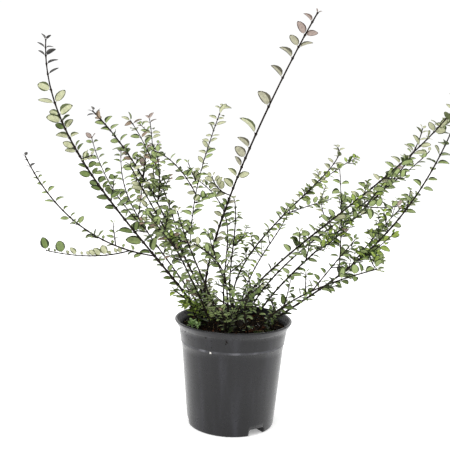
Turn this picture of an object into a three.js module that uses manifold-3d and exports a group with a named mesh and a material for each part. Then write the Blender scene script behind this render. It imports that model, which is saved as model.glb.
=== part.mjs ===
// A red tips box honeysuckle in a two-litre nursery pot, in millimetres, +Z up.
// The origin is the middle of the pot's flat underside; -Y is the front.
import * as THREE from "three";
import { mergeVertices } from "three/addons/utils/BufferGeometryUtils.js";
import Module from "manifold-3d";

const wasm = await Module();
wasm.setup();

const UP = new THREE.Vector3(0, 0, 1);
const CLEAR = 0.3; // between two pieces that touch on the real plant
const SEED = 2921;

// Pot: a tapered shell with a collar, a flared lip and three drain arches in its foot
const POT_HEIGHT = 155.4;
const RIM_RADIUS = 85;
const LIP_DROP = 9;
const LIP_FOOT_RADIUS = 80.6;
const COLLAR_TOP_RADIUS = 79;
const COLLAR_FOOT_RADIUS = 75.6;
const COLLAR_Z = 122.6;
const COLLAR_STEP = 1.1;
const BASE_RADIUS = 63.3;
const BASE_CHAMFER = 2.2;
const WALL = 2;
const POT_SIDES = 36;
const ARCH_WIDTH = 27;
const ARCH_HEIGHT = 10;
const ARCH_DEPTH = 24;
const ARCH_CORNER = 4;
const ARCH_BEARINGS = [-53, 67, 187]; // degrees from +X, seen from above
const DRAIN_RADIUS = 4.5;

// Potting soil and the stool that the canes rise from
const SOIL_TOP = 144;
const SOIL_SLOPE = 3;
const STOOL_RADIUS = 11;
const STOOL_FLARE = 17;
const STOOL_HEIGHT = 17;
const STOOL_SIDES = 14;

// Wood and leaves
const CANE_SIDES = 6;
const TWIG_SIDES = 3;
const CANE_STEP = 34; // length of one straight stretch of a cane
const TWIG_STEP = 24;
const TIP_RADIUS = 0.8;
const TWIG_RADIUS = 1;
const TWIG_LENGTH = [18, 34];
const TWIG_ZONE = 0.62; // the share of a leafy stem that carries small twigs
const TWIG_TURN = 2.5; // how far a twig may stand round from its stem's upper side, in radians
const TWIG_LEAD = 0.75; // how far a twig leans along its stem
const TWIG_BEND = 0.55; // the share of a twig's length before it turns up
const TWIG_END = 0.4;
const TWIG_RISE = [0.05, 0.3];
const BARE_FOOT = { stem: 0.02, shoot: 0.15, twig: 0.2 }; // the leafless share of each
const ROOT_SINK = 0.3; // how far a leaf's root reaches past the middle of its twig
const LEAF_THICKNESS = 0.8;
const LEAF_ROUND = 0.64; // a blade's width over its length
const LEAF_WIDEST = 0.42; // where along its length a blade is widest
const LEAF_MARGIN = 0.5; // between two pieces that don't touch
const LEAF_LEAD = [0.15, 0.5]; // how far a leaf leans along its stem
const LEAF_SWING = 0.4; // how far a leaf stands out of its rank, in radians
const LEAF_LEVEL = 0.8; // how far a steep stem's leaves turn level
const LEAF_TWIST = [0.1, 1.2]; // how far a blade turns from level to the light, in radians
const LIGHT = [0, -0.8, 0.5]; // where the leaves face, besides outwards
const LIGHT_OUTWARD = 0.35;
const CROSS_EVERY = 3; // which pairs stand a quarter turn on
const LEAF_SIZES = [0.85, 1.12];
const TIP_LEAF = 0.55; // the last leaf of a stem against the others
const TIP_LEAD = 3;
const LEAF_CORE = [0.3, 0.85]; // the stretch of a leaf that keeps clear of others
const TWIG_LEAF = 0.85;
const SHOOT_LEAF = 0.92;
const TWIG_CROWDING = 0.6; // leaf spacing on a small twig against that on its stem
const FORK_SHARE = 0.7; // a fork's thickness against the bough that it leaves
const FORK_STEP = 0.002;
const SOIL_ROOM = 3;
const LIP_ROOM = [14, 4]; // inwards of the lip, and above it

// Keys of the seeded numbers: each mass has a hundred, of which its twigs start at twenty
const MASS_KEYS = 100;
const TWIG_KEY = 20;
const FORK_KEY = 40;
const CLUMP_KEY = 60;

// Each solid leaf stands for a pair or more of the real plant's
const SPACING = 2.25;
const ENLARGED = 1.25;

// Each cane: its foot on the soil, two handles that bend it, its tip, its thickness at
// the foot, the bare share of its length, the spacing and length of its leaves, and the
// number of small twigs that it carries. A shoot starts part of the way up the leafy
// stretch and runs over its bend to its own tip; its leaves may have a length of their own.
const CANES = [
  {
    name: "tall",
    foot: [-27, 8],
    handles: [[-92, 10, 180], [52, 20, 500]],
    tip: [105, 24, 595],
    girth: 3.9,
    bare: 0.4,
    gap: 34,
    blade: 22,
    twigs: 0,
    shootBlade: 12,
    shoots: [{ at: 0.02, bend: [-30, -5, 340], tip: [-36, -22, 362] }],
  },
  {
    name: "upper_left",
    foot: [-34, -8],
    handles: [[-120, -15, 270], [-274, -30, 390]],
    tip: [-264, -40, 540],
    girth: 4.1,
    bare: 0.28,
    gap: 18,
    blade: 18,
    twigs: 1,
    shootBlade: 8,
    shoots: [{ at: 0.5, bend: [-205, -50, 385], tip: [-196, -62, 388] }],
    fork: {
      name: "low_left",
      handles: [[-185, -50, 260], [-240, -85, 305]],
      tip: [-272, -110, 386],
      gap: 15,
      blade: 12,
      twigs: 2,
      shoots: [{ at: 0.16, bend: [-187, -95, 250], tip: [-235, -150, 272] }],
    },
  },
  {
    name: "left_back",
    foot: [-24, 24],
    handles: [[-90, 45, 255], [-140, 80, 370]],
    tip: [-230, 110, 450],
    girth: 3,
    bare: 0.24,
    gap: 11,
    blade: 14,
    twigs: 3,
    shoots: [
      { at: 0.06, bend: [-120, 50, 380], tip: [-160, 38, 436] },
      { at: 0.42, bend: [-135, 125, 400], tip: [-146, 152, 441] },
      { at: 0.38, bend: [-112, 38, 345], tip: [-116, 8, 384] },
    ],
  },
  {
    name: "far_left",
    foot: [-36, 26],
    handles: [[-115, 65, 255], [-190, 120, 290]],
    tip: [-195, 175, 385],
    girth: 2.8,
    bare: 0.22,
    gap: 12,
    blade: 13,
    twigs: 2,
    shoots: [
      { at: 0.4, bend: [-210, 105, 330], tip: [-222, 66, 408] },
      { at: 0.5, bend: [-150, 92, 325], tip: [-142, 76, 366] },
    ],
  },
  {
    name: "front_left",
    foot: [-28, -22],
    handles: [[-65, -50, 245], [-105, -90, 310]],
    tip: [-135, -130, 380],
    girth: 2.7,
    bare: 0.2,
    gap: 11,
    blade: 12,
    twigs: 3,
    shoots: [
      { at: 0.35, bend: [-95, -125, 300], tip: [-106, -172, 322] },
      { at: 0.46, bend: [-108, -58, 300], tip: [-132, -44, 330] },
    ],
  },
  {
    name: "middle_left",
    foot: [-15, -22],
    handles: [[-25, -45, 185], [-68, -75, 275]],
    tip: [-76, -112, 322],
    girth: 3,
    bare: 0.7,
    gap: 10,
    blade: 12,
    twigs: 2,
    shoots: [],
    fork: {
      name: "middle_back",
      handles: [[-62, -50, 340], [-52, 40, 385]],
      tip: [-28, 122, 464],
      gap: 13,
      blade: 12,
      twigs: 2,
      shoots: [{ at: 0.3, bend: [-85, -20, 385], tip: [-116, -42, 396] }],
    },
  },
  {
    name: "front_lean",
    foot: [-3, -31],
    handles: [[-15, -70, 220], [0, -125, 255]],
    tip: [-50, -180, 291],
    girth: 2.6,
    bare: 0.22,
    gap: 11,
    blade: 11,
    twigs: 3,
    shoots: [{ at: 0.3, bend: [-26, -118, 264], tip: [-35, -150, 302] }],
  },
  {
    name: "back_lean",
    foot: [-12, 30],
    handles: [[-30, 75, 230], [20, 150, 285]],
    tip: [-65, 220, 337],
    girth: 2.7,
    bare: 0.22,
    gap: 11,
    blade: 11,
    twigs: 3,
    shoots: [{ at: 0.3, bend: [10, 165, 240], tip: [18, 218, 262] }],
  },
  {
    name: "centre",
    foot: [4, -2],
    handles: [[-22, 10, 190], [8, 25, 290]],
    tip: [-5, 42, 326],
    girth: 2.6,
    bare: 0.22,
    gap: 9,
    blade: 10,
    twigs: 2,
    shoots: [],
  },
  {
    name: "right_arch",
    foot: [8, 24],
    handles: [[-52, 45, 240], [180, 85, 372]],
    tip: [155, 120, 405],
    girth: 2.9,
    bare: 0.25,
    gap: 12,
    blade: 12,
    twigs: 2,
    shoots: [
      { at: 0.5, bend: [150, 130, 370], tip: [194, 172, 388] },
      { at: 0.42, bend: [112, 70, 318], tip: [137, 50, 328] },
    ],
  },
  {
    name: "right_long",
    foot: [12, -26],
    handles: [[-48, -38, 207], [256, -55, 374]],
    tip: [298, -72, 500],
    girth: 3.1,
    bare: 0.25,
    gap: 12,
    blade: 15,
    twigs: 3,
    shoots: [
      { at: 0.86, bend: [272, -40, 430], tip: [282, -22, 447] },
      { at: 0.38, bend: [182, -76, 328], tip: [206, -100, 336] },
    ],
  },
  {
    name: "right_middle",
    foot: [27, 14],
    handles: [[78, 32, 246], [258, 62, 340]],
    tip: [279, 92, 438],
    girth: 3,
    bare: 0.22,
    gap: 11,
    blade: 13,
    twigs: 4,
    shoots: [
      { at: 0.5, bend: [205, 25, 350], tip: [222, -8, 380] },
      { at: 0.34, bend: [168, 30, 302], tip: [190, 10, 318] },
      { at: 0.18, bend: [128, 6, 262], tip: [150, -26, 292] },
    ],
  },
  {
    name: "right_back",
    foot: [18, 34],
    handles: [[50, 75, 240], [240, 130, 330]],
    tip: [312, 172, 402],
    girth: 2.8,
    bare: 0.22,
    gap: 12,
    blade: 12,
    twigs: 3,
    shoots: [
      { at: 0.35, bend: [130, 170, 300], tip: [150, 214, 336] },
      { at: 0.52, bend: [206, 102, 326], tip: [226, 72, 352] },
    ],
  },
  {
    name: "front_short",
    foot: [22, -38],
    handles: [[5, -80, 210], [22, -130, 218]],
    tip: [34, -192, 249],
    girth: 2.6,
    bare: 0.22,
    gap: 10,
    blade: 11,
    twigs: 3,
    shoots: [],
  },
  {
    name: "front_right",
    foot: [33, -26],
    handles: [[60, -60, 200], [130, -115, 240]],
    tip: [170, -172, 266],
    girth: 2.7,
    bare: 0.22,
    gap: 11,
    blade: 12,
    twigs: 3,
    shoots: [{ at: 0.4, bend: [130, -85, 255], tip: [158, -78, 288] }],
  },
  {
    name: "low_right",
    foot: [38, -6],
    handles: [[138, -5, 216], [248, -15, 275]],
    tip: [306, -20, 478],
    girth: 3.5,
    bare: 0.2,
    gap: 14,
    blade: 14,
    twigs: 4,
    shoots: [
      { at: 0.14, bend: [151, -12, 300], tip: [142, -12, 377] },
      { at: 0.2, bend: [215, 45, 290], tip: [268, 92, 332] },
      { at: 0.3, bend: [185, -50, 250], tip: [190, -84, 248] },
      { at: 0.24, bend: [194, -34, 266], tip: [214, -52, 294] },
    ],
  },
  {
    name: "rear_right",
    foot: [6, 40],
    handles: [[20, 105, 225], [70, 180, 240]],
    tip: [98, 238, 305],
    girth: 2.7,
    bare: 0.22,
    gap: 11,
    blade: 11,
    twigs: 3,
    shoots: [],
  },
];

// Small leafy clumps that stand round the foot of the canes
const CLUMPS = [
  { name: "clump_left", foot: [-52, -12], tip: [-84, -40, 202], twigs: 4 },
  { name: "clump_front", foot: [-10, -50], tip: [-16, -84, 186], twigs: 4 },
  { name: "clump_right", foot: [57, -24], tip: [78, -38, 190], twigs: 4 },
  { name: "clump_back", foot: [24, 56], tip: [44, 82, 192], twigs: 4 },
  { name: "clump_back_left", foot: [-34, 50], tip: [-58, 76, 200], twigs: 4 },
];
const CLUMP = { radius: 1.5, gap: 12, blade: 11 };

const material = (name, color, roughness) =>
  new THREE.MeshStandardMaterial({ name, color, roughness, metalness: 0 });
const POT_PLASTIC = material("pot_plastic", 0x3a3a3c, 0.42);
const SOIL = material("soil", 0x2a211b, 0.95);
const BARK = material("bark", 0x3b2a2c, 0.75);
const FOLIAGE = material("foliage", 0x77904f, 0.55);

// Helpers

const vec = (list) => new THREE.Vector3(...list);
const mix = (a, b, t) => a + (b - a) * t;

// A repeatable number from 0 to 1 for a list of whole-number keys
function chance(...keys) {
  let h = SEED;
  for (const key of keys) {
    h = Math.imul(h ^ (key + 0x9e37), 0x85ebca6b);
    h ^= h >>> 13;
    h = Math.imul(h, 0xc2b2ae35);
    h ^= h >>> 16;
  }
  return (h >>> 0) / 2 ** 32;
}
const spread = (low, high, ...keys) => mix(low, high, chance(...keys));

// A closed geometry as a solid that can be joined and cut
function solidOf(geometry) {
  const bare = geometry.clone();
  bare.deleteAttribute("normal");
  bare.deleteAttribute("uv");
  const merged = mergeVertices(bare, 1e-4);
  return new wasm.Manifold(
    new wasm.Mesh({
      numProp: 3,
      vertProperties: merged.attributes.position.array,
      triVerts: new Uint32Array(merged.index.array),
    }),
  );
}

function meshOf(name, solid, surface) {
  const made = solid.getMesh();
  const geometry = new THREE.BufferGeometry();
  geometry.setAttribute("position", new THREE.BufferAttribute(made.vertProperties, 3));
  geometry.setIndex(new THREE.BufferAttribute(made.triVerts, 1));
  geometry.computeVertexNormals();
  const mesh = new THREE.Mesh(geometry, surface);
  mesh.name = name;
  return mesh;
}

// A body of revolution about +Z from [radius, z] pairs
function turned(profile, sides) {
  const points = profile.map(([r, z]) => new THREE.Vector2(r, z));
  return solidOf(new THREE.LatheGeometry(points, sides).rotateX(Math.PI / 2));
}

// A round limb that tapers along a path of points: a cylinder bent onto the path
function limb(path, startRadius, endRadius, sides, levelFoot) {
  const rings = path.length - 1;
  const geometry = new THREE.CylinderGeometry(1, 1, 1, sides, rings);
  const position = geometry.attributes.position;
  const frames = path.map((point, i) => {
    const before = path[Math.max(i - 1, 0)];
    const after = path[Math.min(i + 1, rings)];
    const along = levelFoot && i === 0 ? UP.clone() : after.clone().sub(before).normalize();
    const across = new THREE.Vector3(1, 0.3, 0).cross(along).normalize();
    return { point, across, over: along.clone().cross(across) };
  });
  for (let i = 0; i < position.count; i++) {
    const ring = Math.round((position.getY(i) + 0.5) * rings);
    const radius = mix(startRadius, endRadius, ring / rings);
    const { point, across, over } = frames[ring];
    const spot = point
      .clone()
      .addScaledVector(across, position.getZ(i) * radius)
      .addScaledVector(over, position.getX(i) * radius);
    position.setXYZ(i, spot.x, spot.y, spot.z);
  }
  return solidOf(geometry);
}

// One leaf: an eight-faced blade, pointed at both ends, thick enough to be solid
function blade(leaf) {
  const geometry = new THREE.OctahedronGeometry(1);
  const position = geometry.attributes.position;
  const wide = leaf.length * LEAF_ROUND * 0.5;
  for (let i = 0; i < position.count; i++) {
    const x = position.getX(i);
    const along = x < 0 ? (1 + x) * LEAF_WIDEST : mix(LEAF_WIDEST, 1, x);
    position.setXYZ(
      i,
      along * (leaf.length + ROOT_SINK) - ROOT_SINK,
      position.getY(i) * wide,
      position.getZ(i) * LEAF_THICKNESS * 0.5,
    );
  }
  const across = leaf.face.clone().cross(leaf.along).normalize();
  const basis = new THREE.Matrix4().makeBasis(leaf.along, across, leaf.face);
  return solidOf(geometry.applyMatrix4(basis.setPosition(leaf.root)));
}

// Room: every piece of wood and leaf as a capsule, so that later ones keep clear of it

const taken = [];

function gapBetween(p, q) {
  const line = new THREE.Line3(p.a, p.b);
  const other = new THREE.Line3(q.a, q.b);
  let near = Infinity;
  for (const [one, two] of [[line, other], [other, line]]) {
    for (const share of [0, 0.25, 0.5, 0.75, 1]) {
      const spot = one.at(share, new THREE.Vector3());
      const foot = two.closestPointToPoint(spot, true, new THREE.Vector3());
      near = Math.min(near, spot.distanceTo(foot));
    }
  }
  return near - p.radius - q.radius;
}

function isFree(capsule, margin) {
  const low = Math.min(capsule.a.z, capsule.b.z);
  const out = Math.max(...[capsule.a, capsule.b].map((end) => Math.hypot(end.x, end.y)));
  if (low < SOIL_TOP + SOIL_ROOM) return false;
  if (low < POT_HEIGHT + LIP_ROOM[1] && out > RIM_RADIUS - LIP_ROOM[0]) return false;
  return taken.every((other) => {
    if (other.owner === capsule.owner && !(other.leaf && capsule.leaf)) return true;
    return gapBetween(capsule, other) > margin;
  });
}

function claimPath(path, radius, owner) {
  for (let i = 1; i < path.length; i++)
    taken.push({ a: path[i - 1], b: path[i], radius, owner, leaf: false });
}

// Growth

// Points along a curve from one share of its length to another, a step apart
function stretch(curve, from, to, step) {
  const count = Math.max(2, Math.round((curve.getLength() * (to - from)) / step));
  return Array.from({ length: count + 1 }, (_, i) => curve.getPointAt(mix(from, to, i / count)));
}

// The straight stretches of a stem as one curve, so that leaves stand on its real middle
function chainOf(path) {
  const chain = new THREE.CurvePath();
  for (let i = 1; i < path.length; i++) chain.add(new THREE.LineCurve3(path[i - 1], path[i]));
  return chain;
}

// Leaves stand in two ranks on either side of a stem and face the light, one at its tip
function leavesOn({ chain, from, gap, length, key }, owner) {
  const found = [];
  const full = chain.getLength();
  const count = Math.floor((full * (1 - from)) / gap);
  const outward = chain.getPointAt(1).setZ(0).setLength(LIGHT_OUTWARD);
  const light = outward.add(vec(LIGHT)).normalize();
  const square = (v, axis) => v.addScaledVector(axis, -v.dot(axis)).normalize();
  for (let i = 0; i <= count; i++) {
    const share = 1 - (i * gap) / full;
    const tangent = chain.getTangentAt(share);
    const cross = i % CROSS_EVERY === CROSS_EVERY - 1 ? 0.5 : 0;
    const turn = Math.PI * ((i % 2) + cross) + spread(-LEAF_SWING, LEAF_SWING, key, i, 1);
    const along = tangent.clone().cross(light).normalize().applyAxisAngle(tangent, turn);
    along.z *= 1 - LEAF_LEVEL * Math.abs(tangent.z);
    along.addScaledVector(tangent, i === 0 ? TIP_LEAD : spread(...LEAF_LEAD, key, i, 2)).normalize();
    const twist = spread(...LEAF_TWIST, key, i, 3);
    const face = square(UP.clone(), along).multiplyScalar(Math.cos(twist));
    face.addScaledVector(square(light.clone(), along), Math.sin(twist));
    const size = length * spread(...LEAF_SIZES, key, i, 4) * (i === 0 ? TIP_LEAF : 1);
    found.push({ root: chain.getPointAt(share), along, face: square(face, along), length: size, owner });
  }
  return found;
}

// A short twig off a stem, turned outwards and then up
function twigOn(chain, share, length, key) {
  const root = chain.getPointAt(share);
  const tangent = chain.getTangentAt(share);
  const round = new THREE.Vector3(0, 0, 1)
    .addScaledVector(tangent, -tangent.z)
    .normalize()
    .applyAxisAngle(tangent, spread(-TWIG_TURN, TWIG_TURN, key, 6));
  const out = round.addScaledVector(tangent, TWIG_LEAD).normalize();
  const bend = root.clone().addScaledVector(out, length * TWIG_BEND);
  const tip = bend
    .clone()
    .addScaledVector(out, length * TWIG_END)
    .addScaledVector(UP, length * spread(...TWIG_RISE, key, 7));
  return new THREE.QuadraticBezierCurve3(root, bend, tip);
}

function addLeaves(found, solids) {
  for (const leaf of found) {
    const capsule = {
      a: leaf.root.clone().addScaledVector(leaf.along, leaf.length * LEAF_CORE[0]),
      b: leaf.root.clone().addScaledVector(leaf.along, leaf.length * LEAF_CORE[1]),
      radius: leaf.length * LEAF_ROUND * 0.5,
      owner: leaf.owner,
      leaf: true,
    };
    if (!isFree(capsule, LEAF_MARGIN)) continue;
    taken.push(capsule);
    solids.push(blade(leaf));
  }
}

const plan = []; // one entry a mass: its stem, its shoots and what grows on them

function planMass(owner, path, spec, key) {
  claimPath(path, spec.radius, owner);
  const chain = chainOf(path);
  const shoots = (spec.shoots ?? []).map((shoot) => {
    const start = chain.getPointAt(shoot.at);
    const curve = new THREE.QuadraticBezierCurve3(start, vec(shoot.bend), vec(shoot.tip));
    return stretch(curve, 0, 1, TWIG_STEP);
  });
  for (const shoot of shoots) claimPath(shoot, TWIG_RADIUS, owner);
  plan.push({ owner, path, spec, key, chain, shoots });
}

function growMass({ owner, path, spec, key, chain, shoots }) {
  const solids = [limb(path, spec.radius, TIP_RADIUS, TWIG_SIDES, spec.levelFoot)];
  const gap = spec.gap * SPACING;
  const length = spec.blade * ENLARGED;
  const stems = [{ chain, from: BARE_FOOT.stem, gap, length, key: key * MASS_KEYS }];
  shoots.forEach((shoot, i) => {
    solids.push(limb(shoot, TWIG_RADIUS, TIP_RADIUS, TWIG_SIDES));
    stems.push({
      chain: chainOf(shoot),
      from: BARE_FOOT.shoot,
      gap,
      length: spec.shootBlade ? spec.shootBlade * ENLARGED : length * SHOOT_LEAF,
      key: key * MASS_KEYS + 1 + i,
    });
  });
  for (let i = 0; i < spec.twigs; i++) {
    const twigKey = key * MASS_KEYS + TWIG_KEY + i;
    const share = (TWIG_ZONE * (i + spread(0.15, 0.85, twigKey, 8))) / spec.twigs;
    const reach = spread(...TWIG_LENGTH, twigKey, 9);
    const twig = stretch(twigOn(chain, share, reach, twigKey), 0, 1, TWIG_STEP);
    const free = twig
      .slice(1)
      .every((b, n) => isFree({ a: twig[n], b, radius: TWIG_RADIUS, owner }, LEAF_MARGIN));
    if (!free) continue;
    claimPath(twig, TWIG_RADIUS, owner);
    solids.push(limb(twig, TWIG_RADIUS, TIP_RADIUS, TWIG_SIDES));
    stems.push({
      chain: chainOf(twig),
      from: BARE_FOOT.twig,
      gap: gap * TWIG_CROWDING,
      length: length * TWIG_LEAF,
      key: twigKey,
    });
  }
  for (const stem of stems) addLeaves(leavesOn(stem, owner), solids);
  return solids.reduce((whole, piece) => whole.add(piece));
}

// The pot and what fills it

function archSolid(bearing, grow) {
  const half = ARCH_WIDTH / 2 + grow;
  const top = ARCH_HEIGHT + grow;
  const outline = new THREE.Shape();
  outline.moveTo(-half, -1);
  outline.lineTo(half, -1);
  outline.lineTo(half, top - ARCH_CORNER);
  outline.quadraticCurveTo(half, top, half - ARCH_CORNER, top);
  outline.lineTo(-half + ARCH_CORNER, top);
  outline.quadraticCurveTo(-half, top, -half, top - ARCH_CORNER);
  outline.closePath();
  const reach = ARCH_DEPTH + grow + ARCH_HEIGHT;
  const geometry = new THREE.ExtrudeGeometry(outline, {
    depth: reach,
    bevelEnabled: false,
    curveSegments: 3,
  });
  geometry.rotateX(Math.PI / 2).rotateZ(Math.PI / 2);
  geometry.translate(BASE_RADIUS - ARCH_DEPTH - grow, 0, 0);
  return solidOf(geometry.rotateZ(THREE.MathUtils.degToRad(bearing)));
}

function drainHole(bearing) {
  const geometry = new THREE.CylinderGeometry(DRAIN_RADIUS, DRAIN_RADIUS, ARCH_HEIGHT, 10);
  geometry.rotateX(Math.PI / 2);
  geometry.translate(BASE_RADIUS - ARCH_DEPTH * 0.55, 0, ARCH_HEIGHT + WALL / 2);
  return solidOf(geometry.rotateZ(THREE.MathUtils.degToRad(bearing)));
}

const wallRadius = (z) => mix(BASE_RADIUS, COLLAR_FOOT_RADIUS - COLLAR_STEP, z / COLLAR_Z);

function makePot() {
  const collarTopZ = POT_HEIGHT - LIP_DROP;
  const outer = turned(
    [
      [0, 0],
      [BASE_RADIUS - BASE_CHAMFER, 0],
      [wallRadius(BASE_CHAMFER), BASE_CHAMFER],
      [wallRadius(COLLAR_Z), COLLAR_Z],
      [COLLAR_FOOT_RADIUS, COLLAR_Z + COLLAR_STEP],
      [COLLAR_TOP_RADIUS, collarTopZ - 1],
      [LIP_FOOT_RADIUS, collarTopZ],
      [RIM_RADIUS - 0.6, POT_HEIGHT - 3],
      [RIM_RADIUS, POT_HEIGHT - 1.4],
      [RIM_RADIUS - 1.2, POT_HEIGHT],
      [0, POT_HEIGHT],
    ],
    POT_SIDES,
  );
  const inner = turned(
    [
      [0, WALL],
      [wallRadius(WALL) - WALL, WALL],
      [wallRadius(COLLAR_Z) - WALL, COLLAR_Z],
      [COLLAR_TOP_RADIUS - WALL, collarTopZ],
      [RIM_RADIUS - WALL - 1.6, POT_HEIGHT - 1],
      [RIM_RADIUS - WALL - 1, POT_HEIGHT + 1],
      [0, POT_HEIGHT + 1],
    ],
    POT_SIDES,
  );
  let hollow = inner;
  for (const bearing of ARCH_BEARINGS) hollow = hollow.subtract(archSolid(bearing, WALL));
  let pot = outer.subtract(hollow);
  for (const bearing of ARCH_BEARINGS)
    pot = pot.subtract(archSolid(bearing, 0)).subtract(drainHole(bearing));
  return meshOf("pot", pot, POT_PLASTIC);
}

function makeSoil() {
  const inside = (z) => wallRadius(z) - WALL - CLEAR;
  const shoulder = SOIL_TOP - SOIL_SLOPE;
  let soil = turned(
    [
      [0, WALL + CLEAR],
      [inside(WALL), WALL + CLEAR],
      [inside(COLLAR_Z), COLLAR_Z],
      [COLLAR_TOP_RADIUS - WALL - CLEAR - 1, shoulder],
      [COLLAR_TOP_RADIUS - 14, SOIL_TOP],
      [0, SOIL_TOP],
    ],
    POT_SIDES,
  );
  for (const bearing of ARCH_BEARINGS) soil = soil.subtract(archSolid(bearing, WALL + CLEAR));
  return meshOf("soil", soil, SOIL);
}

function makeStool() {
  const foot = SOIL_TOP + CLEAR;
  const profile = [
    [0, foot],
    [STOOL_FLARE, foot],
    [STOOL_RADIUS + 2, foot + STOOL_HEIGHT * 0.35],
    [STOOL_RADIUS, foot + STOOL_HEIGHT * 0.75],
    [STOOL_RADIUS - 1.5, foot + STOOL_HEIGHT],
    [0, foot + STOOL_HEIGHT],
  ];
  return meshOf("root_stool", turned(profile, STOOL_SIDES), BARK);
}

// The shrub

const shrub = new THREE.Group();
shrub.add(makePot(), makeSoil(), makeStool());

function footPoint([x, y]) {
  const onStool = Math.hypot(x, y) < STOOL_RADIUS;
  return new THREE.Vector3(x, y, SOIL_TOP + CLEAR + (onStool ? STOOL_HEIGHT + CLEAR : 0));
}

// The share of a fork's length at which its stem stands clear of the bough it leaves
function forkStart(curve, boughTip, boughRadius, radius) {
  const away = boughRadius + radius + CLEAR;
  let share = 0;
  while (curve.getPointAt(share).distanceTo(boughTip) < away) share += FORK_STEP;
  return share;
}

function planCane(cane, index) {
  const curve = new THREE.CubicBezierCurve3(
    footPoint(cane.foot),
    ...cane.handles.map(vec),
    vec(cane.tip),
  );
  const radius = cane.girth / 2;
  const endRadius = mix(radius, TIP_RADIUS, cane.bare);
  const path = stretch(curve, 0, cane.bare, CANE_STEP);
  shrub.add(meshOf(cane.name + "_cane", limb(path, radius, endRadius, CANE_SIDES, true), BARK));
  claimPath(path, radius, cane.name + "_cane");
  const leafy = stretch(curve, cane.bare + CLEAR / curve.getLength(), 1, TWIG_STEP);
  planMass(cane.name + "_leaves", leafy, { ...cane, radius: endRadius }, index);
  if (!cane.fork) return;
  const fork = cane.fork;
  const boughTip = path.at(-1);
  const forkCurve = new THREE.CubicBezierCurve3(boughTip, ...fork.handles.map(vec), vec(fork.tip));
  const forkRadius = endRadius * FORK_SHARE;
  const share = forkStart(forkCurve, boughTip, endRadius, forkRadius);
  const forkPath = stretch(forkCurve, share, 1, TWIG_STEP);
  planMass(fork.name + "_leaves", forkPath, { ...fork, radius: forkRadius }, FORK_KEY + index);
}

CANES.forEach(planCane);
CLUMPS.forEach((clump, index) => {
  const foot = footPoint(clump.foot);
  const tip = vec(clump.tip);
  const bend = new THREE.Vector3(foot.x, foot.y, mix(foot.z, tip.z, 0.6));
  const curve = new THREE.QuadraticBezierCurve3(foot, bend, tip);
  const spec = { ...CLUMP, twigs: clump.twigs, levelFoot: true };
  planMass(clump.name, stretch(curve, 0, 1, TWIG_STEP), spec, CLUMP_KEY + index);
});
for (const mass of plan) shrub.add(meshOf(mass.owner, growMass(mass), FOLIAGE));

export default shrub;
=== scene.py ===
"""A red tips box honeysuckle in its black nursery pot: bark, leaves, soil and moulded plastic."""

from math import cos, hypot, pi, radians, sin, sqrt
from types import SimpleNamespace as Record

import bpy
import numpy as np
from mathutils import Matrix, Vector, noise


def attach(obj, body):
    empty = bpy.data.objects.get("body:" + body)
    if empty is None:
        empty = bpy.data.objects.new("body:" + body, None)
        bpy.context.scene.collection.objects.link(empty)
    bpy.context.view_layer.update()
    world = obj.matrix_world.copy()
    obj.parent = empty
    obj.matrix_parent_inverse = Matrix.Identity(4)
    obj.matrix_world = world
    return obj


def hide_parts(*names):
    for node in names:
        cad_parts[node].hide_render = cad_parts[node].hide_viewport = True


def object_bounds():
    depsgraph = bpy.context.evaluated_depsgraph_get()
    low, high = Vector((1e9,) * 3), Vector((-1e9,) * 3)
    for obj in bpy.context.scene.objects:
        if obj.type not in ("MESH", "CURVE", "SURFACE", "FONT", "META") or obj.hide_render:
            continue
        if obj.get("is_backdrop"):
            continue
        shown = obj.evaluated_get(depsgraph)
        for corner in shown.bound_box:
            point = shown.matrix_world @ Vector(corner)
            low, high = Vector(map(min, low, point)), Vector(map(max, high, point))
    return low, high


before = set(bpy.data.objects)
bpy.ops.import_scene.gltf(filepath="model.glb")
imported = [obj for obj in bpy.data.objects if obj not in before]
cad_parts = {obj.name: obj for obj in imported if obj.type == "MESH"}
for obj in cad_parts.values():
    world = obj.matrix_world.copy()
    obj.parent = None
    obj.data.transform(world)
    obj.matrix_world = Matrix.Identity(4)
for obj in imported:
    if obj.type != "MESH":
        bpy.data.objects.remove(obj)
cad_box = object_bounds()

MM = 0.001
UP = np.array((0.0, 0.0, 1.0))
TURN = 2 * pi
SEED = 2921

# The pot and its filling, in millimetres, as in the solids
POT_HEIGHT = 155.4
RIM_RADIUS = 85
LIP_DROP = 9
LIP_FOOT_RADIUS = 80.6
COLLAR_TOP = 79
COLLAR_FOOT = 75.6
COLLAR_Z = 122.6
COLLAR_TOP_Z = POT_HEIGHT - LIP_DROP
COLLAR_STEP = 1.1
BASE_RADIUS = 63.3
BASE_CHAMFER = 2.2
WALL = 2
ARCH_WIDTH = 27
ARCH_HEIGHT = 10
ARCH_DEPTH = 24
ARCH_CORNER = 4
ARCH_BEARINGS = (-53, 67, 187)  # degrees from +X, seen from above
DRAIN_RADIUS = 4.5
SOIL_TOP = 144
SOIL_SLOPE = 3
STOOL_RADIUS = 11
STOOL_FLARE = 17
STOOL_HEIGHT = 17

# Kinds of stem, and the leafless share at the foot of each
STEM, SHOOT, TWIG, FINE, BOUGH = range(5)
BARE_FOOT = (0.02, 0.08, 0.12, 0.2, 0.1)

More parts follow.
